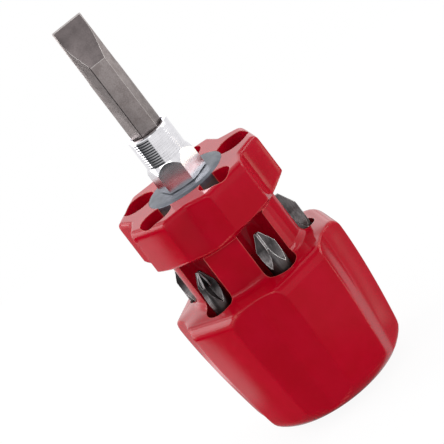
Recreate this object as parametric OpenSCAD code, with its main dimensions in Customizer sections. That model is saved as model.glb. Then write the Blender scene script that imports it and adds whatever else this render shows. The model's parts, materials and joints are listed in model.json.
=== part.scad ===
// Pocket screwdriver: a stubby lobed handle that carries five bits in its waist and one in its holder.
// Millimetres. The tool stands on its butt, the blade points along +Z, and the axis is the Z axis.

/* [Handle] */
// Length of the handle from the butt to the front face of the magazine
handle_len = 55.8; // [52:0.1:64]
// Distance from the axis to a flat of the grip where it is fattest
grip_flat_r = 19.2; // [18.6:0.05:22]
// Width of a flat of the grip
grip_flat_w = 12; // [8:0.1:13]
// Distance from the axis to the bottom of a valley of the grip
grip_valley_r = 17.7; // [16.8:0.1:19]
// Size of the grip's lower end as a share of its fattest place
grip_end_share = 0.825; // [0.75:0.01:0.95]
// Rounding of the grip's shoulder
shoulder_round = 2.8; // [1:0.1:3.6]
// Rounding of the shoulder's edge in the valleys
arch_round = 0.4; // [0.2:0.1:1]
// Rounding of the edge round the butt
butt_round = 6.6; // [4:0.1:8]
// Thickness of plastic between the butt and the pocket floors
butt_wall = 5.2; // [4:0.1:8]

/* [Magazine] */
// Distance from the axis to a flat of the magazine
magazine_flat_r = 16.6; // [16.4:0.05:18]
// Width of a flat of the magazine
magazine_flat_w = 9.9; // [7:0.1:11]
// Distance from the axis to the bottom of a valley of the magazine
magazine_valley_r = 14.2; // [13.6:0.1:15]
// Height of the magazine's side wall with its front rounding
magazine_h = 9.7; // [7:0.1:12]
// Height of the sloping underside of the magazine
magazine_cone_h = 2.6; // [1.5:0.1:4]
// Rounding of the front edge over the lobes
magazine_round = 1.6; // [1:0.1:3]
// Rounding of the front edge over the valleys
valley_round = 0.8; // [0.4:0.1:1.5]

/* [Waist] */
// Radius of the waist between the magazine and the grip
waist_r = 12.9; // [12.3:0.1:13.4]
// Height of the waist
waist_h = 10.9; // [9:0.1:13]
// Fillet where the waist meets the grip
waist_fillet = 1.6; // [0.8:0.1:2]

/* [Bits] */
// Width across the flats of the hexagon of every bit
bit_af = 6.35; // [6.2:0.01:6.4]
// Length of a bit
bit_len = 36; // [33:0.5:38]
// Radius of the circle on which the stored bits stand
bit_circle_r = 12.25; // [12.2:0.05:12.3]
// Radial gap between a bit's corners and its pocket
pocket_gap = 0.18; // [0.1:0.01:0.25]
// Depth of the hexagonal tail of a pocket
pocket_tail = 6.6; // [4:0.1:10]
// Length of the round neck of a cross bit with its tip
bit_neck_len = 11; // [10:0.1:14]
// Thickness of the tip of the blade in the holder
blade_tip_t = 1; // [0.6:0.1:1.6]
// Length of the parallel stretch at the end of a blade
blade_parallel = 2.7; // [1:0.1:4]

/* [Holder] */
// Width across the flats of the holder's hexagonal foot
foot_af = 9.7; // [9.6:0.05:11]
// Height of the foot up to the start of its bevel
foot_h = 4.7; // [3.5:0.1:5.5]
// Radius of the sleeve
sleeve_r = 4.8; // [4.6:0.05:5]
// Distance from the magazine's front face to the mouth of the sleeve
mouth_h = 13.4; // [12:0.1:16]
// Depth of the bit in the socket
socket_depth = 8.2; // [6:0.1:8.5]
// Gap between the bit's flats and the socket
socket_gap = 0.04; // [0.02:0.01:0.08]

/* [Core] */
// Gap between the core and the flats of the bits that slide past it
core_gap = 0.08; // [0.05:0.01:0.12]
// Length of the core with its disc
core_len = 12; // [10:0.5:14]
// Thickness of the front disc
disc_t = 1.4; // [1:0.1:2]
// How far the disc stands above the magazine's face
disc_proud = 0.35; // [0.2:0.05:0.6]
// Width of the bevel round the disc
disc_bevel = 0.9; // [0.5:0.1:1.2]
// Width across the flats of the shank inside the core
shank_af = 7; // [6:0.1:8]
// Length of the shank below the disc
shank_len = 22; // [16:0.5:24]

/* [Hidden] */

$fn = 48;
overrun = 1;
fit_gap = 0.02;
lobe_count = 5;
half_pitch = 180 / lobe_count;
lobe_turn = 18;

z_front = handle_len;
z_cone = z_front - magazine_h;
z_waist_top = z_cone - magazine_cone_h;
z_shelf = z_waist_top - waist_h;
shelf_drop = 0.5;
z_edge = z_shelf - shelf_drop;
z_belly = z_edge - shoulder_round;
dome_h = 0.8;
dome_flat_r = 8;
belly_power = 1.6;

magazine_size = [magazine_flat_r, magazine_flat_w / 2, magazine_valley_r];
grip_size = [grip_flat_r, grip_flat_w / 2, grip_valley_r];
corner_cut = 0.14;
valley_cut = 0.16;
edge_cut = 0.12;
edge_out_share = 1.02;
turned_share = 0.84;

hex_corner_share = 1 / cos(30);
bit_corner_r = bit_af / 2 * hex_corner_share;
pocket_r = bit_corner_r + pocket_gap;
pocket_tail_af = bit_af + pocket_gap;
core_r = bit_circle_r - bit_af / 2 - core_gap;
z_core = z_front - core_len;
z_disc = z_front + disc_proud - disc_t;
z_seat = z_front + disc_proud;
z_mouth = z_front + mouth_h;
z_tail = z_mouth - socket_depth;
z_stored = butt_wall;
bit_bevel = 0.5;
neck_cone = 1.2;

foot_corner_r = foot_af / 2 * hex_corner_share;
foot_bevel_h = 1.6;
foot_edge = 0.15;
collar_h = 0.22;
collar_r = 4.5;
foot_turn = 28;
bevel_over = 0.3;
bevel_steep = foot_bevel_h / (foot_corner_r - sleeve_r);
sleeve_edge = 0.3;
mouth_r = bit_corner_r + pocket_gap;
mouth_depth = 0.8;
spigot_lip = 0.16;
spigot_r = shank_af / 2 * hex_corner_share + spigot_lip;
magnet_r = 2.9;
magnet_t = 3;
ring_wire_r = 0.24;
ring_r = bit_corner_r + fit_gap + ring_wire_r;
ring_drop = 2.6;
ring_opening = 50;

tip_half_angle = 26.5;
cutter_r = 5.5;
blade_slope = 23.5;
blade_blend_r = 9;
blade_blend_steps = 5;
blade_w = 7.2;
small_blade_t = 0.8;
small_blade_w = 5.5;

small_point = 1.2;
small_web = 0.33;
small_run = 3.6;
large_point = 2.2;
large_web = 0.5;
large_run = 4.3;
widest_point = 3.4;
widest_web = 0.8;
widest_run = 4.6;
ribbed_share = 0.7;
plain_share = 0;
neck_a = 7.2;
neck_b = 4.4;
neck_c = 4.58;
neck_d = 5.9;
turn_a = 20;
turn_b = 21;
turn_c = -23;
turn_d = -8;

// Smaller of two radii, with the corner between them cut back by the given depth
function soft_min(a, b, cut) = (a + b - sqrt(pow(a - b, 2) + 4 * cut * cut)) / 2;
function soft_max(a, b, cut) = (a + b + sqrt(pow(a - b, 2) + 4 * cut * cut)) / 2;

// Radius at angle a of the straight line through the points p and q
function line_r(a, p, q) = cross(p, q) / cross([cos(a), sin(a)], q - p);

// Radius of the lobed outline at angle a from the middle of a lobe: a flat moved in by inset, then a shallow
// valley whose two planes are moved in by cut_in
function lobed_r(a, size, inset, cut_in) =
    let (p = [size[0], size[1]],
         q = size[2] * [cos(half_pitch), sin(half_pitch)],
         valley = soft_max(line_r(abs(a), p, q), line_r(2 * half_pitch - abs(a), p, q), valley_cut))
    soft_min(size[0] / cos(a) - inset, valley - cut_in, corner_cut);

// Angles at which every ring is sampled, closest together round the corners of a lobe
corner_a = atan(grip_flat_w / 2 / grip_flat_r);
side_angles = [corner_a - 6, corner_a - 2.8, corner_a - 0.8, corner_a + 1, corner_a + 3, corner_a + 6.5,
               (corner_a + 6.5 + half_pitch) / 2, half_pitch - 3];
lobe_angles = concat([for (i = [len(side_angles) - 1 : -1 : 0]) -side_angles[i]], [0], side_angles,
                     [half_pitch]);
ring_angles = [for (k = [0 : lobe_count - 1], a = lobe_angles) [a, a + (2 * k) * half_pitch + lobe_turn]];

// One ring of the handle's skin: z, radius of the turned profile, size and insets of the lobed outline
function ring(z, turned, size, inset = 0, cut_in = 0) =
    [for (a = ring_angles)
        let (r = soft_min(lobed_r(a[0], size, inset, cut_in), turned, edge_cut))
        [r * cos(a[1]), r * sin(a[1]), z]];

// One ring of a rounded edge that starts at height z: it runs from flat at t = 0 to upright at t = 90
function edge_ring(z, t, edge_r, cut_r, size) =
    let (depth = edge_r * (1 - cos(t)), inset = edge_r * (1 - sin(t)))
    ring(z - depth, corner_r(size) - turned_share * inset, size, inset, edge_inset(cut_r, depth));

function corner_r(size) = edge_out_share * norm([size[0], size[1]]);
function edge_inset(r, depth) = depth < r ? r - sqrt(r * r - pow(r - depth, 2)) : 0;
function belly_share(z) = 1 - (1 - grip_end_share) * pow(max(0, z_belly - z) / z_belly, belly_power);

front_rings = [for (t = [0 : 15 : 90]) edge_ring(z_front, t, magazine_round, valley_round, magazine_size)];
cone_shares = [0, 0.12, 0.45, 0.75, 1];
cone_rings = [for (s = cone_shares)
    ring(z_cone - s * magazine_cone_h,
         corner_r(magazine_size) + s * (waist_r - corner_r(magazine_size)),
         magazine_size)];
fillet_rings = [for (t = [0 : 22.5 : 90])
    ring(z_shelf + waist_fillet * (1 - sin(t)), waist_r + waist_fillet * (1 - cos(t)), grip_size)];
shoulder_rings = [for (t = [0 : 15 : 90]) edge_ring(z_edge, t, shoulder_round, arch_round, grip_size)];
belly_shares = [0.12, 0.28, 0.44, 0.6, 0.76, 0.9, 1];
z_butt = butt_round + dome_h;
belly_rings = [for (s = belly_shares)
    let (z = z_belly + s * (z_butt - z_belly))
    ring(z, corner_r(grip_size) * belly_share(z), grip_size * belly_share(z))];
butt_rings = [for (t = [15 : 15 : 90])
    let (z = z_butt - butt_round * sin(t), share = belly_share(z))
    ring(z, corner_r(grip_size) * share - butt_round * (1 - cos(t)), grip_size * share)];
butt_rim_r = corner_r(grip_size) * grip_end_share - butt_round;
base_rings = [for (s = [0.4, 1])
    ring(dome_h * pow(1 - s, 2), butt_rim_r + s * (dome_flat_r - butt_rim_r), grip_size * grip_end_share)];

skin_rings = concat(front_rings, cone_rings, fillet_rings, shoulder_rings, belly_rings, butt_rings,
                    base_rings);
ring_len = len(ring_angles);
skin_points = [for (r = skin_rings, p = r) p];
skin_faces = concat(
    [[for (i = [ring_len - 1 : -1 : 0]) i]],
    [[for (i = [0 : ring_len - 1]) i + (len(skin_rings) - 1) * ring_len]],
    [for (j = [0 : len(skin_rings) - 2], i = [0 : ring_len - 1])
        let (a = j * ring_len + i, b = j * ring_len + (i + 1) % ring_len)
        each [[a, b, b + ring_len], [a, b + ring_len, a + ring_len]]]);

// Puts its children on the bit circle at the given lobe
module at_lobe(k) {
    rotate(2 * k * half_pitch + lobe_turn)
        translate([bit_circle_r, 0, 0])
            children();
}

// Upright hexagonal bar with flats facing along X
module hexagon_bar(af, h) {
    rotate(30)
        cylinder(r = af / 2 * hex_corner_share, h = h, $fn = 6);
}

module handle() {
    color([0.66, 0.01, 0.09])
        difference() {
            polyhedron(skin_points, skin_faces);
            translate([0, 0, z_core])
                cylinder(r = core_r + fit_gap, h = core_len + overrun);
            translate([0, 0, z_disc - shank_len])
                hexagon_bar(shank_af + fit_gap, shank_len + overrun);
            for (k = [0 : lobe_count - 1])
                at_lobe(k) {
                    translate([0, 0, z_stored])
                        hexagon_bar(pocket_tail_af, pocket_tail + overrun);
                    translate([0, 0, z_stored + pocket_tail])
                        rotate(180)
                            cylinder(r = pocket_r, h = handle_len);
                }
        }
}

module core_barrel() {
    color([0.23, 0.20, 0.19])
        difference() {
            translate([0, 0, z_core])
                cylinder(r = core_r, h = z_disc - z_core);
            translate([0, 0, z_disc - shank_len])
                hexagon_bar(shank_af + fit_gap, shank_len + overrun);
        }
}

module front_disc() {
    color([0.50, 0.52, 0.56])
        translate([0, 0, z_disc])
            rotate_extrude()
                polygon([[spigot_r + fit_gap, 0],
                         [core_r, 0],
                         [core_r, disc_t - disc_proud],
                         [core_r - disc_bevel, disc_t],
                         [spigot_r + fit_gap, disc_t]]);
}

// Foot of the holder: a hexagon with its upper corners turned down to the sleeve and its lower edge broken
module holder_foot() {
    intersection() {
        rotate(foot_turn)
            hexagon_bar(foot_af, foot_h + 2 * foot_bevel_h);
        rotate_extrude()
            polygon([[0, collar_h],
                     [foot_corner_r - foot_edge, collar_h],
                     [foot_corner_r + bevel_over, collar_h + foot_edge + bevel_over],
                     [foot_corner_r + bevel_over, foot_h - bevel_over * bevel_steep],
                     [sleeve_r - bevel_over, foot_h + foot_bevel_h + bevel_over * bevel_steep],
                     [0, foot_h + foot_bevel_h + bevel_over * bevel_steep]]);
    }
}

module holder_sleeve() {
    rotate_extrude()
        polygon([[0, foot_h / 2],
                 [sleeve_r, foot_h / 2],
                 [sleeve_r, z_mouth - z_seat - sleeve_edge],
                 [sleeve_r - sleeve_edge, z_mouth - z_seat],
                 [0, z_mouth - z_seat]]);
}

module bit_socket() {
    translate([0, 0, z_tail])
        rotate(lobe_turn - 30)
            hexagon_bar(bit_af + 2 * socket_gap, socket_depth + overrun);
    translate([0, 0, z_tail - magnet_t])
        cylinder(r = magnet_r + fit_gap, h = magnet_t + overrun);
    translate([0, 0, z_mouth - mouth_depth])
        cylinder(r = mouth_r, h = mouth_depth + overrun);
    translate([0, 0, z_mouth - ring_drop - ring_wire_r - fit_gap])
        cylinder(r = ring_r + ring_wire_r + fit_gap, h = 2 * (ring_wire_r + fit_gap));
}

module bit_holder() {
    color([0.86, 0.86, 0.88])
        difference() {
            union() {
                translate([0, 0, z_seat]) {
                    holder_foot();
                    holder_sleeve();
                }
                translate([0, 0, z_seat])
                    cylinder(r = collar_r, h = collar_h + foot_edge);
                translate([0, 0, z_disc])
                    cylinder(r = spigot_r, h = disc_t + foot_edge);
                translate([0, 0, z_disc - shank_len])
                    hexagon_bar(shank_af, shank_len + disc_t / 2);
            }
            bit_socket();
        }
}

module socket_magnet() {
    color([0.55, 0.56, 0.58])
        translate([0, 0, z_tail - magnet_t])
            cylinder(r = magnet_r, h = magnet_t);
}

module retaining_ring() {
    color([0.45, 0.45, 0.47])
        translate([0, 0, z_mouth - ring_drop])
            rotate_extrude(angle = 360 - ring_opening)
                translate([ring_r, 0])
                    circle(r = ring_wire_r, $fn = 24);
}

// Hexagonal bar of a bit standing on z = 0, with both ends bevelled
module bit_bar() {
    intersection() {
        hexagon_bar(bit_af, bit_len);
        rotate_extrude()
            polygon([[0, 0],
                     [bit_af / 2 - bit_bevel / 2, 0],
                     [bit_corner_r, bit_bevel],
                     [bit_corner_r, bit_len],
                     [0, bit_len]]);
    }
}

// Points of the ground side of a blade, from the tip down: parallel, blended, then sloping out to the flat
function blade_side(tip_t) =
    concat([[tip_t / 2, bit_len + overrun]],
           [for (i = [0 : blade_blend_steps])
               let (a = blade_slope * i / blade_blend_steps)
               [tip_t / 2 + blade_blend_r * (1 - cos(a)),
                bit_len - blade_parallel - blade_blend_r * sin(a)]],
           [[tip_t / 2 + blade_blend_r * (1 - cos(blade_slope)) + bit_af * sin(blade_slope),
             bit_len - blade_parallel - blade_blend_r * sin(blade_slope) - bit_af * cos(blade_slope)],
            [2 * bit_af, bit_len - blade_parallel - 2 * bit_af],
            [2 * bit_af, bit_len + overrun]]);

// Slotted bit standing on z = 0, its blade wide along Y
module blade_tipped_bit(tip_t, tip_w) {
    difference() {
        bit_bar();
        for (side = [0, 180])
            rotate(side)
                translate([0, bit_af, 0])
                    rotate([90, 0, 0])
                        linear_extrude(2 * bit_af)
                            polygon(blade_side(tip_t));
        for (side = [-1, 1])
            translate([-bit_af, side > 0 ? tip_w / 2 : -bit_af - tip_w / 2, bit_len - 2 * bit_af])
                cube([2 * bit_af, bit_af, 2 * bit_af + overrun]);
    }
}

// Round neck and pointed end of a cross bit on its hexagon, before the flutes are cut
module cross_blank(blank_d, point_d) {
    point_h = (blank_d - point_d) / 2 / tan(tip_half_angle);
    z_neck = bit_len - bit_neck_len;
    intersection() {
        hexagon_bar(bit_af, bit_len);
        rotate_extrude()
            polygon([[0, 0],
                     [bit_af / 2 - bit_bevel / 2, 0],
                     [bit_corner_r, bit_bevel],
                     [bit_corner_r, z_neck - neck_cone],
                     [blank_d / 2, z_neck],
                     [blank_d / 2, bit_len - point_h],
                     [point_d / 2, bit_len],
                     [0, bit_len]]);
    }
}

// One flute as a wheel with a sharp rim cuts it: straight from the point, then running out of the neck
module flute(web_r, z_run) {
    translate([web_r, 0, z_run])
        rotate(-45)
            cube([bit_af, bit_af, bit_len]);
    translate([web_r + cutter_r, 0, z_run])
        rotate([90, 0, 0])
            rotate_extrude()
                polygon([[0, -cutter_r], [cutter_r, 0], [0, cutter_r]]);
}

// Cross bit standing on z = 0, its first wing turned from X, with low ribs in the flutes where it has them
module cross_tipped_bit(blank_d, point_d, web_r, run_len, rib_share, turn) {
    cross_z = bit_len - run_len;
    difference() {
        cross_blank(blank_d, point_d);
        for (quarter = [45 : 90 : 315])
            rotate(quarter + turn)
                flute(web_r, cross_z);
    }
    if (rib_share > 0)
        intersection() {
            cross_blank(blank_d * rib_share, point_d * rib_share);
            for (quarter = [45 : 90 : 135])
                rotate(quarter + turn)
                    translate([-blank_d / 2, -web_r / 2, cross_z])
                        cube([blank_d, web_r, run_len]);
        }
}

// Stands a bit on the floor of the pocket at lobe k
module stored(k) {
    at_lobe(k)
        translate([0, 0, z_stored])
            children();
}

module blade_bit() {
    color([0.42, 0.38, 0.37])
        translate([0, 0, z_tail])
            rotate(lobe_turn - 90)
                blade_tipped_bit(blade_tip_t, blade_w);
}

module cross_bit_a() {
    color([0.36, 0.36, 0.37])
        stored(2)
            cross_tipped_bit(neck_a, widest_point, widest_web, widest_run, ribbed_share, turn_a);
}

module cross_bit_b() {
    color([0.36, 0.36, 0.37])
        stored(3)
            cross_tipped_bit(neck_b, small_point, small_web, small_run, ribbed_share, turn_b);
}

module cross_bit_c() {
    color([0.36, 0.36, 0.37])
        stored(4)
            cross_tipped_bit(neck_c, small_point, small_web, small_run, plain_share, turn_c);
}

module cross_bit_d() {
    color([0.36, 0.36, 0.37])
        stored(0)
            cross_tipped_bit(neck_d, large_point, large_web, large_run, plain_share, turn_d);
}

module slotted_bit_e() {
    color([0.36, 0.36, 0.37])
        stored(1)
            blade_tipped_bit(small_blade_t, small_blade_w);
}

handle();
core_barrel();
front_disc();
bit_holder();
socket_magnet();
retaining_ring();
blade_bit();
cross_bit_a();
cross_bit_b();
cross_bit_c();
cross_bit_d();
slotted_bit_e();
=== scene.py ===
import json
import math

import bpy
from mathutils import Matrix, Vector


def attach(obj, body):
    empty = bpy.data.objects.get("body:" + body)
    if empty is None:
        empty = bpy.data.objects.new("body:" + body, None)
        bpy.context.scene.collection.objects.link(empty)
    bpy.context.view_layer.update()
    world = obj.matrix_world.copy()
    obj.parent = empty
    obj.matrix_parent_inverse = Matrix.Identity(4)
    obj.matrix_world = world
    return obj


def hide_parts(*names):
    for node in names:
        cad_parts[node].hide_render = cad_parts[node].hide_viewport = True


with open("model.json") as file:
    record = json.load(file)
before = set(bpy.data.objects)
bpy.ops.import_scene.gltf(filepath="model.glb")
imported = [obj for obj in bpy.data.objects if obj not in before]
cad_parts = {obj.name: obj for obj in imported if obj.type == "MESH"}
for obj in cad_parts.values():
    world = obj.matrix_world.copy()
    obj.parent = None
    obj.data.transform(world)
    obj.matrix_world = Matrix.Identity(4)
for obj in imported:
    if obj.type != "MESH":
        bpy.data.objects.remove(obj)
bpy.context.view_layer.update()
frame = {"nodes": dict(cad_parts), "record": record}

# Camera. The tool is photographed with a long lens from in front and a little above, and the picture is turned so
# that the blade leans to the upper left.
mm = 0.001
view_turn = math.radians(13)
view_rise = math.radians(17.4)
picture_lean = math.radians(37.35)
camera_distance = 1500 * mm
picture_width = 90.1 * mm
aim_height = 43.9 * mm
aim_right = 0.79 * mm

look = Vector((-math.sin(view_turn) * math.cos(view_rise), math.cos(view_turn) * math.cos(view_rise),
               -math.sin(view_rise)))
level_right = look.cross(Vector((0, 0, 1))).normalized()
level_up = level_right.cross(look)
picture_right = math.cos(picture_lean) * level_right - math.sin(picture_lean) * level_up
picture_up = math.sin(picture_lean) * level_right + math.cos(picture_lean) * level_up
camera_data = bpy.data.cameras.new("camera")
camera = bpy.data.objects.new("camera", camera_data)
bpy.context.scene.collection.objects.link(camera)
aim = Vector((0, 0, aim_height)) + aim_right * level_right
axes = Matrix((picture_right, picture_up, -look)).transposed().to_4x4()
camera.matrix_world = Matrix.Translation(aim - camera_distance * look) @ axes
camera_data.sensor_width = 36
camera_data.lens = camera_data.sensor_width * camera_distance / picture_width
camera_data.clip_end = 10
bpy.context.scene.camera = camera
bpy.context.scene.view_settings.view_transform = "Standard"


# Studio. White paper, a soft box at the left and weaker lamps at the front, right and top. What the metal and plastic
# mirror is set up round the tool: a dark card at the left front, a bright one high at the left, a white wall behind,
# and on the paper, as painted light that glows only in reflections, a dim patch in front in place of a black sheet,
# a light patch at the left, and a warm one with a painted shade at the right.
class Socket:
    """A value in a material's or the world's nodes, with arithmetic that adds the nodes it needs."""

    def __init__(self, tree, link):
        self.tree, self.link = tree, link

    def node(self, kind, settings=None, out=0, **inputs):
        """Adds a node by its type, its settings, the output to use, and its sockets by name or as i and a number."""
        made = self.tree.nodes.new(kind)
        for name, value in (settings or {}).items():
            setattr(made, name, value)
        for name, value in inputs.items():
            socket = made.inputs[int(name[1:])] if name[1:].isdigit() else made.inputs[name.replace("_", " ")]
            if isinstance(value, Socket):
                self.tree.links.new(value.link, socket)
            else:
                socket.default_value = value
        return Socket(self.tree, made.outputs[out] if made.outputs else None)

    def maths(self, operation, *values):
        return self.node("ShaderNodeMath", {"operation": operation},
                         **{f"i{i}": value for i, value in enumerate(values)})

    def __add__(self, other):
        return self.maths("ADD", self, other)

    def __radd__(self, other):
        return self.maths("ADD", other, self)

    def __sub__(self, other):
        return self.maths("SUBTRACT", self, other)

    def __rsub__(self, other):
        return self.maths("SUBTRACT", other, self)

    def __mul__(self, other):
        return self.maths("MULTIPLY", self, other)

    def __rmul__(self, other):
        return self.maths("MULTIPLY", other, self)

    def or_larger(self, other):
        return self.maths("MAXIMUM", self, other)

    def along(self, direction):
        """How far a place lies, or a direction points, along another direction."""
        return self.node("ShaderNodeVectorMath", {"operation": "DOT_PRODUCT"}, out="Value", i0=self, i1=direction)

    def noise(self, scale, detail, **more):
        """Cloudy noise at a place, finer with a larger scale."""
        return self.node("ShaderNodeTexNoise", Vector=self, Scale=scale, Detail=detail, **more)

    def ramp(self, low, high, to_low=0.0, to_high=1.0):
        """Runs smoothly from to_low to to_high as the value goes from low to high."""
        return self.node("ShaderNodeMapRange", {"interpolation_type": "SMOOTHSTEP"},
                         Value=self, From_Min=low, From_Max=high, To_Min=to_low, To_Max=to_high)

    def mix(self, low, high):
        """Colour between low and high, with this value as the share of high. A Mix node has its colours at 6 and 7."""
        return self.node("ShaderNodeMix", {"data_type": "RGBA"}, out=2, i0=self, i6=low, i7=high)

    def blend(self, low, high):
        """Shader between low and high, with this value as the share of high."""
        return self.node("ShaderNodeMixShader", i0=self, i1=low, i2=high)

    def surface(self, **inputs):
        """Ends a material in one shader with the given values."""
        self.node("ShaderNodeOutputMaterial", Surface=self.node("ShaderNodeBsdfPrincipled", **inputs))


def start_tree(owner):
    """Clears the nodes of a material or the world and gives a first value, from which others are added."""
    owner.use_nodes = True
    owner.node_tree.nodes.clear()
    return Socket(owner.node_tree, None)


def start_material(name):
    """Makes an empty material, with its first value and the place on the piece that its patterns follow."""
    material = bpy.data.materials.new(name)
    nodes = start_tree(material)
    return material, nodes, nodes.node("ShaderNodeTexCoord", out="Object")


def coat(piece, material):
    """Gives a piece one material in place of those it had."""
    piece.data.materials.clear()
    piece.data.materials.append(material)


def rgb(red, green, blue):
    return (red, green, blue, 1)


white = rgb(1, 1, 1)
up = (0, 0, 1)
card_turn = math.radians(-148)
card_edge = (0.63, 0.69)
card_top = (-0.05, 0.28)
ceiling_edge = (0.62, 0.8)
ceiling_share = 0.25
wall_edge = (0.84, 0.92)
wall_foot = (0.05, 0.12)
side_card_edge = (0.9, 0.95)

world = bpy.data.worlds.new("studio")
bpy.context.scene.world = world
nodes = start_tree(world)
camera_ray = nodes.node("ShaderNodeLightPath", out="Is Camera Ray")
glossy_ray = nodes.node("ShaderNodeLightPath", out="Is Glossy Ray")
clear_ray = nodes.node("ShaderNodeLightPath", out="Is Transmission Ray")
toward = nodes.node("ShaderNodeTexCoord", out="Generated")
toward_up = toward.along(up)
toward_card = toward.along((math.cos(card_turn), math.sin(card_turn), 0))
toward_wall = toward.along((-math.sin(view_turn), math.cos(view_turn), 0))
toward_side_card = toward.along((-0.694, 0.324, 0.643))
on_card = toward_card.ramp(*card_edge) * (1 - toward_up.ramp(*card_top))
off_card = (1 - on_card) * toward_up.ramp(*ceiling_edge, 1.0, ceiling_share)
white_share = camera_ray.or_larger(clear_ray).or_larger(glossy_ray * off_card)
wall_share = glossy_ray * toward_wall.ramp(*wall_edge) * toward_up.ramp(*wall_foot)
side_share = glossy_ray * toward_side_card.ramp(*side_card_edge)
room = nodes.node("ShaderNodeBackground", Color=rgb(0.97, 0.98, 1), Strength=0.62)
dark_room = nodes.node("ShaderNodeBackground", Color=rgb(0.5, 0.55, 0.6), Strength=0.06)
backdrop = nodes.node("ShaderNodeBackground", Color=white, Strength=1)
wall = nodes.node("ShaderNodeBackground", Color=white, Strength=1.6)
side_card = nodes.node("ShaderNodeBackground", Color=white, Strength=3.4)
lit = side_share.blend(wall_share.blend(backdrop, wall), side_card)
nodes.node("ShaderNodeOutputWorld", Surface=white_share.blend(glossy_ray.blend(room, dark_room), lit))

floor_r = 200 * mm
floor_drop = 0.4 * mm
paper_white_share = 0.93
# Painted light on the paper, seen only in reflections: how brightly it glows, where, and where a painted shade falls.
paper_light = 0.56
left_light = 2.1
right_light = 3.2
shade_depth = 0.44
left_glow_side = (30 * mm, 45 * mm)
left_glow_front = (-60 * mm, -25 * mm)
grip_glow_edge = (-9 * mm, -2.5 * mm, 1.0, 0.0)
grip_glow_near = (-35 * mm, -26 * mm, 1.0, 0.0)
grip_glow_far = (-110 * mm, -100 * mm, 0.3, 1.0)
magazine_glow_edge = (-5 * mm, 1.5 * mm, 1.0, 0.0)
magazine_glow_near = (-158 * mm, -152 * mm, 1.0, 0.0)
shade_side = (-16.8 * mm, -15.4 * mm, 1.0, 0.0)
shade_back = (16 * mm, 22 * mm)
dim_patch_edge = (7.7 * mm, 11.3 * mm)
dim_patch_light = (-35 * mm, -15 * mm, 0.5, 0.2)

bpy.ops.object.select_all(action="DESELECT")
bpy.ops.mesh.primitive_circle_add(vertices=96, radius=floor_r, fill_type="NGON", location=(0, 0, -floor_drop))
floor = bpy.context.object
floor.name = "floor"
paper, nodes, place = start_material("paper")
camera_ray = nodes.node("ShaderNodeLightPath", out="Is Camera Ray")
glossy_ray = nodes.node("ShaderNodeLightPath", out="Is Glossy Ray")
forward = place.along((0.1014, -0.9948, 0))
leftward = place.along((-0.974, -0.225, 0))
across = place.along((-0.292, 0.956, 0))
beside = place.along((-0.891, 0.454, 0))
behind = place.along((-0.371, 0.928, 0))
# Painted light: seen only in reflections, the paper glows in patches and a painted shade darkens it at the right. In
# front it glows only dimly, in place of a black sheet.
left_glow = leftward.ramp(*left_glow_side) * forward.ramp(*left_glow_front)
grip_glow = across.ramp(*grip_glow_edge) * leftward.ramp(*grip_glow_near) * leftward.ramp(*grip_glow_far)
magazine_glow = across.ramp(*magazine_glow_edge) * leftward.ramp(*magazine_glow_near)
right_glow = grip_glow.or_larger(magazine_glow)
right_shade = beside.ramp(*shade_side) * behind.ramp(*shade_back)
mirrored_paper = nodes.node("ShaderNodeEmission", Color=right_glow.mix(white, rgb(1, 0.9, 0.72)),
                            Strength=paper_light + left_light * left_glow
                            + right_light * right_glow * (1 - right_shade) - shade_depth * right_shade)
mirrored_dim_patch = nodes.node("ShaderNodeEmission", Color=white, Strength=leftward.ramp(*dim_patch_light))
shaded_paper = nodes.node("ShaderNodeBsdfDiffuse", Color=rgb(0.93, 0.93, 0.93))
white_paper = nodes.node("ShaderNodeEmission", Color=white, Strength=1)
floor_seen = (camera_ray * paper_white_share).blend(shaded_paper, white_paper)
floor_mirrored = forward.ramp(*dim_patch_edge).blend(mirrored_paper, mirrored_dim_patch)
nodes.node("ShaderNodeOutputMaterial", Surface=glossy_ray.blend(floor_seen, floor_mirrored))
coat(floor, paper)

lamp_aim = Vector((0, 0, 30 * mm))
lamps = (("soft_box", -112, 24, 300 * mm, 160 * mm, 240 * mm, 0.5),
         ("front_lamp", -34, 38, 600 * mm, 620 * mm, 200 * mm, 0.85),
         ("right_lamp", 84, 22, 600 * mm, 300 * mm, 300 * mm, 1.5),
         ("top_lamp", 150, 60, 600 * mm, 400 * mm, 400 * mm, 0.6))
for name, turn_from_camera, lamp_rise, distance, width, height, power in lamps:
    lamp_data = bpy.data.lights.new(name, "AREA")
    lamp_data.shape = "RECTANGLE"
    lamp_data.size, lamp_data.size_y = width, height
    lamp_data.energy = power
    lamp = bpy.data.objects.new(name, lamp_data)
    bpy.context.scene.collection.objects.link(lamp)
    turn = math.radians(turn_from_camera - 90) + view_turn
    rise = math.radians(lamp_rise)
    toward_lamp = Vector((math.cos(turn) * math.cos(rise), math.sin(turn) * math.cos(rise), math.sin(rise)))
    lamp.location = lamp_aim + distance * toward_lamp
    lamp.rotation_euler = toward_lamp.to_track_quat("Z", "Y").to_euler()

# Handle. One moulding in glossy red plastic: a magazine with five lobes in front, a round waist that the bits'
# grooves cut into, and a thick grip with five flats and shallow valleys. It carries all the other pieces, and a
# painted highlight, a paler colour in patches, runs along its edges.
handle_len = 55.8 * mm
grip_flat_r = 19.2 * mm
grip_flat_w = 12 * mm
grip_valley_r = 17.7 * mm
grip_end_share = 0.825
belly_power = 1.6
shoulder_round = 2.8 * mm
arch_round = 0.4 * mm
butt_round = 6.6 * mm
dome_h = 0.8 * mm
dome_flat_r = 8 * mm
magazine_flat_r = 16.6 * mm
magazine_flat_w = 9.9 * mm
magazine_valley_r = 14.2 * mm
magazine_h = 9.7 * mm
magazine_cone_h = 2.6 * mm
magazine_round = 1.6 * mm
valley_round = 0.8 * mm
waist_r = 12.9 * mm
waist_h = 10.9 * mm
waist_fillet = 1.6 * mm
shelf_drop = 0.5 * mm
corner_cut = 0.12 * mm
valley_cut = 0.16 * mm
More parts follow.
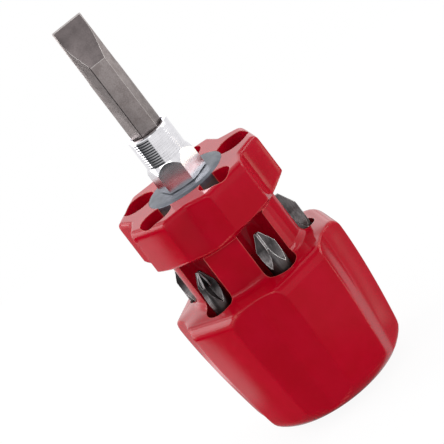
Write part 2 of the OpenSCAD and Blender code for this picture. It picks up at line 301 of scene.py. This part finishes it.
edge_cut = 0.12 * mm
turned_share = 0.84
turned_over_share = 1.02
skin_share = 0.998
lobes = 5
half_pitch = math.pi / lobes
lobe_turn = math.radians(18)

z_front = handle_len
z_cone = z_front - magazine_h
z_waist_top = z_cone - magazine_cone_h
z_shelf = z_waist_top - waist_h
z_edge = z_shelf - shelf_drop
z_belly = z_edge - shoulder_round
z_butt = butt_round + dome_h


def soft_min(a, b, cut):
    """The smaller of two radii, with the corner between them rounded."""
    return (a + b - math.sqrt((a - b) ** 2 + 4 * cut * cut)) / 2


def line_r(angle, p, q):
    """Radius at which a ray from the axis meets the line through p and q."""
    return (p[0] * q[1] - p[1] * q[0]) / (math.cos(angle) * (q[1] - p[1]) - math.sin(angle) * (q[0] - p[0]))


def lobed_r(angle, size, inset, cut_in):
    """Radius of the lobed outline: a flat moved in by inset, then valley planes moved in by cut_in."""
    flat_r, half_w, valley_r = size
    p = (flat_r, half_w)
    q = (valley_r * math.cos(half_pitch), valley_r * math.sin(half_pitch))
    valley = -soft_min(-line_r(abs(angle), p, q), -line_r(2 * half_pitch - abs(angle), p, q), valley_cut)
    return soft_min(flat_r / math.cos(angle) - inset, valley - cut_in, corner_cut)


magazine_size = (magazine_flat_r, magazine_flat_w / 2, magazine_valley_r)
grip_size = (grip_flat_r, grip_flat_w / 2, grip_valley_r)
magazine_corner_r = turned_over_share * math.hypot(magazine_size[0], magazine_size[1])
grip_corner_r = turned_over_share * math.hypot(grip_size[0], grip_size[1])
magazine_corner = math.atan(magazine_flat_w / 2 / magazine_flat_r)
grip_corner = math.atan(grip_flat_w / 2 / grip_flat_r)
lobe_steps = 14
grip_corner_degrees = (-2.4, -1.6, -0.9, -0.3, 0.3, 0.9, 1.6, 2.4)
magazine_corner_degrees = (-2.2, -1.2, -0.4)
valley_degrees = (0.6, 1.4)
offsets = sorted({round(a, 6) for a in
                  [i * half_pitch / lobe_steps for i in range(1, lobe_steps)]
                  + [grip_corner + math.radians(d) for d in grip_corner_degrees]
                  + [magazine_corner + math.radians(d) for d in magazine_corner_degrees]
                  + [half_pitch - math.radians(d) for d in valley_degrees]})
ring_angles = []
for lobe in range(lobes):
    around_lobe = [-b for b in reversed(offsets)] + [0] + offsets
    ring_angles += [(a, a + 2 * lobe * half_pitch + lobe_turn) for a in around_lobe]
    ring_angles.append((half_pitch, (2 * lobe + 1) * half_pitch + lobe_turn))


def ring(z, turned_r, size, inset=0.0, cut_in=0.0):
    """Height and radii of one ring, where the lobed outline meets the turned form."""
    return z, [soft_min(lobed_r(offset, size, inset, cut_in), turned_r, edge_cut) for offset, angle in ring_angles]


def belly_share(z):
    """Share of the grip's full width at a height: all of it down to the shoulder, less towards the butt."""
    return 1 - (1 - grip_end_share) * (max(0, z_belly - z) / z_belly) ** belly_power


def scaled(size, share):
    return tuple(s * share for s in size)


def between(first, second, share):
    """A ring between two others."""
    return (first[0] + share * (second[0] - first[0]),
            [r + share * (other - r) for r, other in zip(first[1], second[1])])


def quarter_turn(step, first=0, last=90):
    """Angles through a quarter of a circle, every so many degrees."""
    return [math.radians(degrees) for degrees in range(first, last + 1, step)]


def rounded_edge(z, edge_r, cut_r, corner_r, size):
    """Rings of a rounded edge that starts flat at height z, with a sharper edge over the valleys."""
    rings = []
    for t in quarter_turn(9):
        depth = edge_r * (1 - math.cos(t))
        inset = edge_r * (1 - math.sin(t))
        cut_in = cut_r - math.sqrt(cut_r ** 2 - (cut_r - depth) ** 2) if depth < cut_r else 0
        rings.append(ring(z - depth, corner_r - turned_share * inset, size, inset, cut_in))
    return rings


def grip_ring(z, turned_in=0.0):
    """One ring of the grip below its shoulder, turned in towards the butt by the given amount."""
    return ring(z, grip_corner_r * belly_share(z) - turned_in, scaled(grip_size, belly_share(z)))


belly_steps = 16
flat_share = 0.9
grip_end_size = scaled(grip_size, grip_end_share)
rim_r = grip_corner_r * grip_end_share - butt_round
front_edge = rounded_edge(z_front, magazine_round, valley_round, magazine_corner_r, magazine_size)
front_face = [(z_front, [share * r for r in front_edge[0][1]]) for share in (0.85, 0.93, 0.98)]
magazine_side = [ring(z_front - magazine_round - s * (magazine_h - magazine_round), magazine_corner_r, magazine_size)
                 for s in (0.1, 0.35, 0.65, 0.9)]
cone = [ring(z_cone - s * magazine_cone_h, magazine_corner_r + s * (waist_r - magazine_corner_r), magazine_size)
        for s in (0, 0.06, 0.12, 0.2, 0.3, 0.4, 0.5, 0.6, 0.7, 0.8, 0.9, 0.97, 1)]
waist = [ring(z_waist_top - s * (waist_h - waist_fillet), waist_r, magazine_size) for s in (0.03, 0.2, 0.5, 0.8)]
fillet = [ring(z_shelf + waist_fillet * (1 - math.sin(t)), waist_r + waist_fillet * (1 - math.cos(t)), grip_size)
          for t in quarter_turn(15)]
shoulder = rounded_edge(z_edge, shoulder_round, arch_round, grip_corner_r, grip_size)
shelf = [between(fillet[-1], shoulder[0], s) for s in (0.1, 0.4, 0.7, 0.9)]
belly = [grip_ring(z_belly + step / belly_steps * (z_butt - z_belly)) for step in range(1, belly_steps + 1)]
butt = [grip_ring(z_butt - butt_round * math.sin(t), butt_round * (1 - math.cos(t))) for t in quarter_turn(8, 8, 88)]
dome = [ring(dome_h * (1 - s) ** 2, rim_r + s * (dome_flat_r - rim_r), grip_end_size)
        for s in (0, 0.2, 0.4, 0.6, 0.8, 0.93, 1)]
flat = [ring(0, dome_flat_r * flat_share, grip_end_size)]
profile = (front_face + front_edge + magazine_side + cone + waist + fillet + shelf + shoulder + belly + butt + dome
           + flat)

least_step = 0.001 * mm
ring_len = len(ring_angles)
bpy.ops.object.select_all(action="DESELECT")
bpy.ops.mesh.primitive_circle_add(vertices=ring_len, radius=grip_flat_r, location=(0, 0, z_front))
handle_skin = bpy.context.object
handle_skin.name = "handle_moulding"
bpy.ops.object.mode_set(mode="EDIT")
bpy.ops.mesh.select_all(action="SELECT")
bpy.ops.mesh.edge_face_add()
for above, below in zip(profile, profile[1:]):
    bpy.ops.mesh.extrude_region_move(TRANSFORM_OT_translate={"value": (0, 0, min(below[0] - above[0], -least_step))})
bpy.ops.object.mode_set(mode="OBJECT")
bpy.ops.object.transform_apply(location=True, rotation=True, scale=True)
for index, vertex in enumerate(handle_skin.data.vertices):
    z, radii = profile[index // ring_len]
    r = skin_share * radii[index % ring_len]
    angle = ring_angles[index % ring_len][1]
    vertex.co = (r * math.cos(angle), r * math.sin(angle), z)
handle_skin.data.update()

weld = 0.002 * mm


def turned(name, outline, steps):
    """Makes a ring or solid by spinning an outline of radius and height pairs about the tool's axis."""
    bpy.ops.object.select_all(action="DESELECT")
    bpy.ops.mesh.primitive_plane_add(size=1 * mm, location=(0, 0, 0))
    piece = bpy.context.object
    piece.name = name
    bpy.ops.object.mode_set(mode="EDIT")
    bpy.ops.mesh.select_all(action="SELECT")
    bpy.ops.mesh.merge(type="CENTER")
    bpy.ops.transform.translate(value=(outline[0][0], 0, outline[0][1]))
    for (r_from, z_from), (r_to, z_to) in zip(outline, outline[1:]):
        bpy.ops.mesh.extrude_region_move(TRANSFORM_OT_translate={"value": (r_to - r_from, 0, z_to - z_from)})
    bpy.ops.mesh.select_all(action="SELECT")
    bpy.ops.mesh.spin(steps=steps, angle=2 * math.pi, center=(0, 0, 0), axis=(0, 0, 1))
    bpy.ops.mesh.select_all(action="SELECT")
    bpy.ops.mesh.remove_doubles(threshold=weld)
    bpy.ops.mesh.normals_make_consistent(inside=False)
    bpy.ops.object.mode_set(mode="OBJECT")
    return piece


def bar(name, sides, radius, low, high, centre=(0, 0), turn=0.0):
    """Adds an upright round or hexagonal bar from one height to another."""
    bpy.ops.object.select_all(action="DESELECT")
    bpy.ops.mesh.primitive_cylinder_add(vertices=sides, radius=radius, depth=high - low,
                                        location=(*centre, (low + high) / 2), rotation=(0, 0, turn))
    piece = bpy.context.object
    piece.name = name
    bpy.ops.object.transform_apply(location=True, rotation=True, scale=True)
    return piece


def join_by(operation, piece, other):
    """Cuts, adds or keeps the common part of another piece, which is used up."""
    modifier = piece.modifiers.new("join", "BOOLEAN")
    modifier.operation = operation
    modifier.solver = "EXACT"
    modifier.object = other
    bpy.context.view_layer.objects.active = piece
    bpy.ops.object.modifier_apply(modifier=modifier.name)
    bpy.data.objects.remove(other)


def weld_alone(piece):
    """Selects one piece alone, merges its double points, and leaves it in edit mode with all selected."""
    bpy.ops.object.select_all(action="DESELECT")
    piece.select_set(True)
    bpy.context.view_layer.objects.active = piece
    bpy.ops.object.mode_set(mode="EDIT")
    bpy.ops.mesh.select_all(action="SELECT")
    bpy.ops.mesh.remove_doubles(threshold=weld)


def shade(piece, sharp, weighted):
    """Merges double points and shades all smooth but the sharp edges, with the large faces flat where asked."""
    weld_alone(piece)
    bpy.ops.object.mode_set(mode="OBJECT")
    bpy.ops.object.shade_smooth_by_angle(angle=sharp)
    if weighted:
        modifier = piece.modifiers.new("shading", "WEIGHTED_NORMAL")
        modifier.keep_sharp = True
        bpy.ops.object.modifier_apply(modifier=modifier.name)


def around(angle, radius):
    return (radius * math.cos(angle), radius * math.sin(angle))


def hexagon_r(across_flats):
    """Radius of a hexagon's corners."""
    return across_flats / 2 / math.cos(math.pi / 6)


bit_af = 6.35 * mm
bit_corner_r = hexagon_r(bit_af)
bit_circle_r = 12.25 * mm
pocket_floor = 5.2 * mm
pocket_tail = 6.6 * mm
pocket_play = 0.18 * mm
pocket_tail_play = 0.1 * mm
pocket_twist = math.radians(1)
core_len = 12 * mm
bore_play = 0.06 * mm
bore_r = bit_circle_r - bit_af / 2 - bore_play
shank_reach = 23.05 * mm
shank_af = 7 * mm
shank_corner_r = hexagon_r(shank_af)
press_play = 0.02 * mm
overrun = 1 * mm
z_core = z_front - core_len
z_shank = z_front - shank_reach
z_pocket = pocket_floor + pocket_tail
hollow = bar("hollow", 192, bore_r, z_core, z_front + 2 * overrun)
join_by("UNION", hollow, bar("shank_bore", 6, shank_corner_r + press_play, z_shank, z_core + overrun))
for lobe in range(lobes):
    lobe_angle = lobe_turn + 2 * lobe * half_pitch
    centre = around(lobe_angle, bit_circle_r)
    join_by("UNION", hollow, bar("pocket", 96, bit_corner_r + pocket_play, z_pocket, z_front + 3 * overrun, centre,
                                 lobe_angle + pocket_twist))
    join_by("UNION", hollow, bar("pocket_tail", 6, bit_corner_r + pocket_tail_play, pocket_floor, z_pocket + overrun,
                                 centre, lobe_angle))
join_by("DIFFERENCE", handle_skin, hollow)
shade(handle_skin, math.radians(28), weighted=True)

noise_spread = (0.3, 0.7)
smear_spread = (0.52, 0.72)
# Painted highlight: where, and how strongly, the handle's edges are painted paler.
highlight_spread = (0.3, 0.6, 0.6, 1.0)
highlight_turn = (0.004, 0.07)
highlight_share = 0.5
red_plastic, nodes, place = start_material("red_plastic")
mottle = place.noise(scale=160.0, detail=3.0)
flow = place.noise(scale=900.0, detail=4.0)
grain = place.noise(scale=5200.0, detail=2.0)
gloss_and_highlight_patches = place.noise(scale=420.0, detail=6.0, Roughness=0.7)
smear = gloss_and_highlight_patches.ramp(*smear_spread)
pigment = mottle.ramp(*noise_spread).mix(rgb(0.375, 0.0008, 0.010), rgb(0.41, 0.001, 0.014))
# Painted highlight: a paler pink along the edges, where the bevelled normal turns from the true one, in noisy patches.
highlight_bevel = nodes.node("ShaderNodeBevel", {"samples": 8}, Radius=0.32 * mm)
flatness = highlight_bevel.along(nodes.node("ShaderNodeNewGeometry", out="True Normal"))
edge_highlight = (1 - flatness).ramp(*highlight_turn) * gloss_and_highlight_patches.ramp(*highlight_spread)
highlighted_pigment = (highlight_share * edge_highlight).mix(pigment, rgb(0.75, 0.16, 0.13))
soft_edge = nodes.node("ShaderNodeBevel", {"samples": 6}, Radius=0.2 * mm)
peel = nodes.node("ShaderNodeBump", Normal=soft_edge, Height=flow + 0.1 * grain, Strength=0.05, Distance=0.05 * mm)
nodes.surface(Base_Color=highlighted_pigment, Roughness=0.07 + 0.08 * smear + 0.02 * flow, Normal=peel,
              Specular_IOR_Level=0.17)
coat(handle_skin, red_plastic)
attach(handle_skin, "handle")
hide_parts("handle")

# Core barrel. A dark moulded cylinder in the middle of the handle, which carries the shank of the bit holder. Only
# strips of its wall show in the two front holes.
brown_spread = (0.35, 0.7)
core_plastic, nodes, place = start_material("core_plastic")
grain = place.noise(scale=2400.0, detail=4.0)
cloud = place.noise(scale=260.0, detail=3.0)
dull = nodes.node("ShaderNodeBump", Height=grain, Strength=0.25, Distance=0.05 * mm)
brown = cloud.ramp(*brown_spread).mix(rgb(0.085, 0.065, 0.06), rgb(0.13, 0.10, 0.09))
nodes.surface(Base_Color=brown, Roughness=0.42 + 0.15 * grain, Normal=dull)
coat(frame["nodes"]["core_barrel"], core_plastic)

# Front disc. A blue-grey blasted steel washer with a turned bevel, pressed round the spigot of the bit holder to
# close the end of the core.
core_play = 0.08 * mm
core_r = bit_circle_r - bit_af / 2 - core_play
disc_t = 1.4 * mm
disc_proud = 0.35 * mm
disc_bevel = 0.9 * mm
rim_break_r = 0.05 * mm
rim_break_h = 0.06 * mm
bevel_break_out = 0.08 * mm
bevel_break_in = 0.06 * mm
bevel_break_h = 0.03 * mm
disc_face_rings = (7 * mm, 6 * mm)
spigot_step = 0.16 * mm
spigot_r = shank_corner_r + spigot_step
disc_hole_r = spigot_r + press_play
z_seat = z_front + disc_proud
z_disc = z_seat - disc_t
bevel_r = core_r - disc_bevel
disc_outline = [(disc_hole_r, z_disc), (core_r, z_disc), (core_r, z_front - rim_break_h),
                (core_r - rim_break_r, z_front), (bevel_r + bevel_break_out, z_seat - bevel_break_h),
                (bevel_r - bevel_break_in, z_seat), *((r, z_seat) for r in disc_face_rings),
                (disc_hole_r, z_seat), (disc_hole_r, z_disc)]
front_disc = turned("steel_disc", disc_outline, steps=160)
shade(front_disc, math.radians(20), weighted=False)

disc_steel, nodes, place = start_material("disc_steel")
speckle = place.noise(scale=5200.0, detail=3.0)
cloud = place.noise(scale=500.0, detail=3.0)
blasted = nodes.node("ShaderNodeBump", Height=speckle, Strength=0.3, Distance=0.03 * mm)
grey = cloud.ramp(*noise_spread).mix(rgb(0.112, 0.122, 0.142), rgb(0.165, 0.177, 0.202))
nodes.surface(Base_Color=grey, Metallic=0.9, Roughness=0.38 + 0.2 * speckle, Normal=blasted)
coat(front_disc, disc_steel)
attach(front_disc, "handle")
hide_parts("front_disc")

# Bit holder. Turned from hexagonal bar and chromed: a foot with spanner flats and a turned bevel, and above it a
# sleeve with fine turning marks, a hexagonal socket and a round mouth. Its shank sits in the core.
foot_af = 9.7 * mm
foot_corner_r = hexagon_r(foot_af)
foot_h = 4.7 * mm
foot_bevel_h = 1.6 * mm
foot_turn = math.radians(28)
foot_chamfer = 0.15 * mm
foot_over = 0.3 * mm
collar_r = 4.5 * mm
collar_h = 0.22 * mm
collar_lap = 0.2 * mm
sleeve_r = 4.8 * mm
sleeve_taper = 0.1 * mm
sleeve_taper_h = 0.4 * mm
sleeve_end_round = ((0, 0.36 * mm), (0.08 * mm, 0.14 * mm), (0.26 * mm, 0))
marks = 11
marks_rise = 0.5 * mm
mark_pitch = 0.56 * mm
mark_depth = 0.05 * mm
mark_groove_share = 0.42
mark_top_share = 0.48
spigot_lap = 0.5 * mm
shank_lap = 0.7 * mm
mouth_h = 13.4 * mm
socket_depth = 8.2 * mm
socket_play = 0.05 * mm
mouth_flare = ((socket_play, -0.9 * mm), (0.22 * mm, -0.6 * mm), (0.34 * mm, 0.4 * mm))
magnet_t = 3 * mm
magnet_bore_r = 2.92 * mm

z_collar = z_seat + collar_h
z_bevel = z_seat + foot_h + foot_bevel_h
z_mouth = z_front + mouth_h
z_tail = z_mouth - socket_depth
z_sleeve = z_seat + foot_h / 2
foot_slope = foot_bevel_h / (foot_corner_r - sleeve_r)
foot = bar("holder_foot", 6, foot_corner_r, z_seat, z_bevel + foot_bevel_h, turn=foot_turn)
foot_outline = [(0, z_collar), (foot_corner_r - foot_chamfer, z_collar),
                (foot_corner_r + foot_over, z_collar + foot_chamfer + foot_over),
                (foot_corner_r + foot_over, z_seat + foot_h - foot_over * foot_slope),
                (sleeve_r - foot_over, z_bevel + foot_over * foot_slope), (0, z_bevel + foot_over * foot_slope)]
join_by("INTERSECT", foot, turned("foot_turning", foot_outline, steps=192))
mark_rows = []
for mark in range(marks):
    base = z_bevel + marks_rise + mark * mark_pitch
    mark_rows += [(sleeve_r, base), (sleeve_r - mark_depth, base + mark_groove_share * mark_pitch),
                  (sleeve_r, base + mark_top_share * mark_pitch)]
sleeve_outline = [(0, z_sleeve), (sleeve_r - sleeve_taper, z_sleeve), (sleeve_r, z_sleeve + sleeve_taper_h), *mark_rows,
                  *((sleeve_r - inset, z_mouth - drop) for inset, drop in sleeve_end_round), (0, z_mouth)]
sleeve = turned("holder_sleeve", sleeve_outline, steps=160)
join_by("UNION", sleeve, foot)
join_by("UNION", sleeve, bar("collar", 96, collar_r, z_seat, z_collar + collar_lap))
spigot = bar("spigot", 96, spigot_r, z_disc, z_seat + spigot_lap)
join_by("UNION", spigot, bar("shank", 6, shank_corner_r, z_shank, z_disc + shank_lap))
join_by("UNION", sleeve, spigot)
socket = bar("socket", 6, bit_corner_r + socket_play, z_tail, z_mouth + overrun, turn=lobe_turn - math.pi / 6)
join_by("UNION", socket, bar("magnet_bore", 64, magnet_bore_r, z_tail - magnet_t, z_tail + overrun))
mouth_outline = [(bit_corner_r + flare, z_mouth + rise) for flare, rise in mouth_flare]
mouth_outline = [(0, mouth_outline[0][1]), *mouth_outline, (0, mouth_outline[-1][1])]
join_by("UNION", socket, turned("mouth", mouth_outline, steps=128))
join_by("DIFFERENCE", sleeve, socket)
sleeve.name = "holder_turning"
shade(sleeve, math.radians(9), weighted=False)

foot_rough = 0.2
sleeve_rough = 0.07
chromed_steel, nodes, place = start_material("chromed_steel")
cloud = place.noise(scale=700.0, detail=3.0)
height = place.along(up)
rings = nodes.node("ShaderNodeTexNoise", {"noise_dimensions": "1D"}, W=height, Scale=9000.0, Detail=2.0)
fine_marks = nodes.node("ShaderNodeBump", Height=rings, Strength=0.10, Distance=0.02 * mm)
chrome = cloud.ramp(*noise_spread).mix(rgb(0.73, 0.72, 0.75), rgb(0.81, 0.80, 0.83))
nodes.surface(Base_Color=chrome, Metallic=1.0, Normal=fine_marks,
              Roughness=height.ramp(z_seat + foot_h, z_bevel, foot_rough, sleeve_rough) + 0.06 * cloud)
coat(sleeve, chromed_steel)
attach(sleeve, "handle")
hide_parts("bit_holder")


# Magnet and spring ring. A nickel-plated disc magnet at the bottom of the socket and a split ring of spring wire
# near its mouth hold the bit. They are hidden while the bit is in.
def plain_metal(name, low, high, rough, scale, detail):
    """Metal whose grey and roughness vary a little over the piece."""
    material, nodes, place = start_material(name)
    cloud = place.noise(scale, detail)
    nodes.surface(Base_Color=cloud.ramp(*noise_spread).mix(low, high), Metallic=1.0, Roughness=rough + 0.2 * cloud)
    return material


magnet_plate = plain_metal("magnet_plate", rgb(0.52, 0.51, 0.49), rgb(0.66, 0.65, 0.63), rough=0.22,
                           scale=1500.0, detail=4.0)
spring_wire = plain_metal("spring_wire", rgb(0.33, 0.33, 0.34), rgb(0.46, 0.46, 0.47), rough=0.25,
                          scale=4000.0, detail=3.0)
coat(frame["nodes"]["socket_magnet"], magnet_plate)
coat(frame["nodes"]["retaining_ring"], spring_wire)

# Blade. A slotted bit on a quarter-inch hexagon of sand-blasted steel, ground on both sides to a thin tip. It is
# pushed into the holder's socket. The ground faces end a little nearer to the tip than in the solid, as photographed.
# Their steel is darker as painted shade, and a painted dark reflection runs down one corner of the hexagon.
z_blade = 97 * mm
blade_front = Vector((*around(math.radians(-72), 1), 0))
ground_len = 11.5 * mm
ground_len_share = 0.9
ground_face_len = 10.2 * mm
facing_share = 0.85
flat_angle = math.radians(0.5)


def dressed_bit(node_name, name, edge, sharp, materials):
    """Copies a bit's solid, breaks its sharp edges and gives the broken edges the second material.

    A third material is for the blade: its ground faces get it, and their slope is shortened.
    """
    source = frame["nodes"][node_name]
    piece = bpy.data.objects.new(name, source.data.copy())
    bpy.context.scene.collection.objects.link(piece)
    piece.data.materials.clear()
    for material in materials:
        piece.data.materials.append(material)
    weld_alone(piece)
    bpy.ops.mesh.dissolve_limited(angle_limit=flat_angle)
    bpy.ops.object.mode_set(mode="OBJECT")
    if len(materials) > 2:
        for vertex in piece.data.vertices:
            if vertex.co.z > z_blade - ground_len:
                vertex.co.z = z_blade - ground_len_share * (z_blade - vertex.co.z)
        for face in piece.data.polygons:
            if face.center.z > z_blade - ground_face_len and abs(face.normal.dot(blade_front)) > facing_share:
                face.material_index = 2
    modifier = piece.modifiers.new("edges", "BEVEL")
    modifier.width = edge
    modifier.segments = 2
    modifier.limit_method = "ANGLE"
    modifier.angle_limit = sharp
    modifier.material = 1
    bpy.ops.object.modifier_apply(modifier=modifier.name)
    bpy.ops.object.shade_smooth_by_angle(angle=sharp)
    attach(piece, [b for b, members in frame["record"]["behaviour"]["bodies"].items() if node_name in members][0])
    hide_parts(node_name)
    return piece


# Painted dark reflection: a near-black strip down the blade's hexagon at this corner.
dark_line_corner = (-0.836 * mm, -3.52 * mm, 0)
dark_line_spread = (0.09 * mm, 0.15 * mm)
# Painted shade: the stored bits are darkened towards the bottom, where their pockets shade them.
shade_fade_below = 1.5 * mm
shade_fade_above = 1 * mm
tone_spread = (0.35, 0.65)
drawn_out = (1, 1, 0.05)


def bit_steel(name, low, high, rough, speckle_scale, bump, lines, painted_dark_line=False, shade_below=0.0):
    """Blasted or drawn steel in two greys; if asked, a painted dark reflection on a corner and painted shade low down.
    """
    material, nodes, place = start_material(name)
    speckle = place.noise(scale=speckle_scale, detail=4.0)
    cloud = place.noise(scale=420.0, detail=3.0)
    drawn = nodes.node("ShaderNodeMapping", Vector=place, Scale=drawn_out).noise(scale=5200.0, detail=2.0)
    tone = (0.5 * cloud + (0.5 - lines) * speckle + lines * drawn).ramp(*tone_spread)
    relief = nodes.node("ShaderNodeBump", Height=(1 - lines) * speckle + lines * drawn, Strength=bump,
                        Distance=0.03 * mm)
    colour = tone.mix(low, high)
    # Painted dark reflection down one corner of the hexagon.
    if painted_dark_line:
        level = nodes.node("ShaderNodeVectorMath", {"operation": "MULTIPLY"}, i0=place, i1=(1, 1, 0))
        from_corner = nodes.node("ShaderNodeVectorMath", {"operation": "DISTANCE"}, out="Value", i0=level,
                                 i1=dark_line_corner)
        colour = from_corner.ramp(*dark_line_spread).mix(rgb(0.02, 0.016, 0.016), colour)
    # Painted shade: darker towards the bottom, where the pockets shade the bits.
    if shade_below:
        unshaded = place.along(up).ramp(shade_below - shade_fade_below, shade_below + shade_fade_above)
        colour = unshaded.mix(rgb(0.07, 0.058, 0.056), colour)
    nodes.surface(Base_Color=colour, Metallic=1.0, Roughness=rough + 0.15 * speckle, Normal=relief)
    return material


blasted_steel = bit_steel("blasted_steel", rgb(0.25, 0.215, 0.21), rgb(0.36, 0.32, 0.315), rough=0.34,
                          speckle_scale=4200.0, bump=0.35, lines=0.0, painted_dark_line=True)
blade_edge = bit_steel("blade_edge", rgb(0.62, 0.59, 0.58), rgb(0.74, 0.71, 0.69), rough=0.4,
                       speckle_scale=6000.0, bump=0.1, lines=0.2, painted_dark_line=True)
# The blade's ground faces: a darker copy of the steel, painted shade on the faces that tilt up.
shaded_ground_steel = bit_steel("shaded_ground_steel", rgb(0.14, 0.12, 0.12), rgb(0.21, 0.18, 0.18), rough=0.40,
                         speckle_scale=5200.0, bump=0.35, lines=0.0)
blade = dressed_bit("blade_bit", "slotted_blade", edge=0.08 * mm, sharp=math.radians(20),
                    materials=(blasted_steel, blade_edge, shaded_ground_steel))

# Stored bits. Four cross bits and a small slotted one, in hardened steel with a dark finish and bright ground
# edges. Each stands on the floor of its pocket with its point in the open groove of the waist. Lower down their
# colour is darker still, as painted shade from the pockets.
point_steel = bit_steel("point_steel", rgb(0.07, 0.063, 0.064), rgb(0.2, 0.184, 0.187), rough=0.26,
                        speckle_scale=5200.0, bump=0.8, lines=0.3, shade_below=34 * mm)
point_edge = bit_steel("point_edge", rgb(0.85, 0.83, 0.83), rgb(0.97, 0.95, 0.95), rough=0.5,
                       speckle_scale=6000.0, bump=0.15, lines=0.2)
for node_name, name in (("cross_bit_a", "large_ribbed_point"), ("cross_bit_b", "small_ribbed_point"),
                        ("cross_bit_c", "small_plain_point"), ("cross_bit_d", "large_plain_point"),
                        ("slotted_bit_e", "small_slotted_point")):
    stored_bit = dressed_bit(node_name, name, edge=0.12 * mm, sharp=math.radians(24),
                             materials=(point_steel, point_edge))
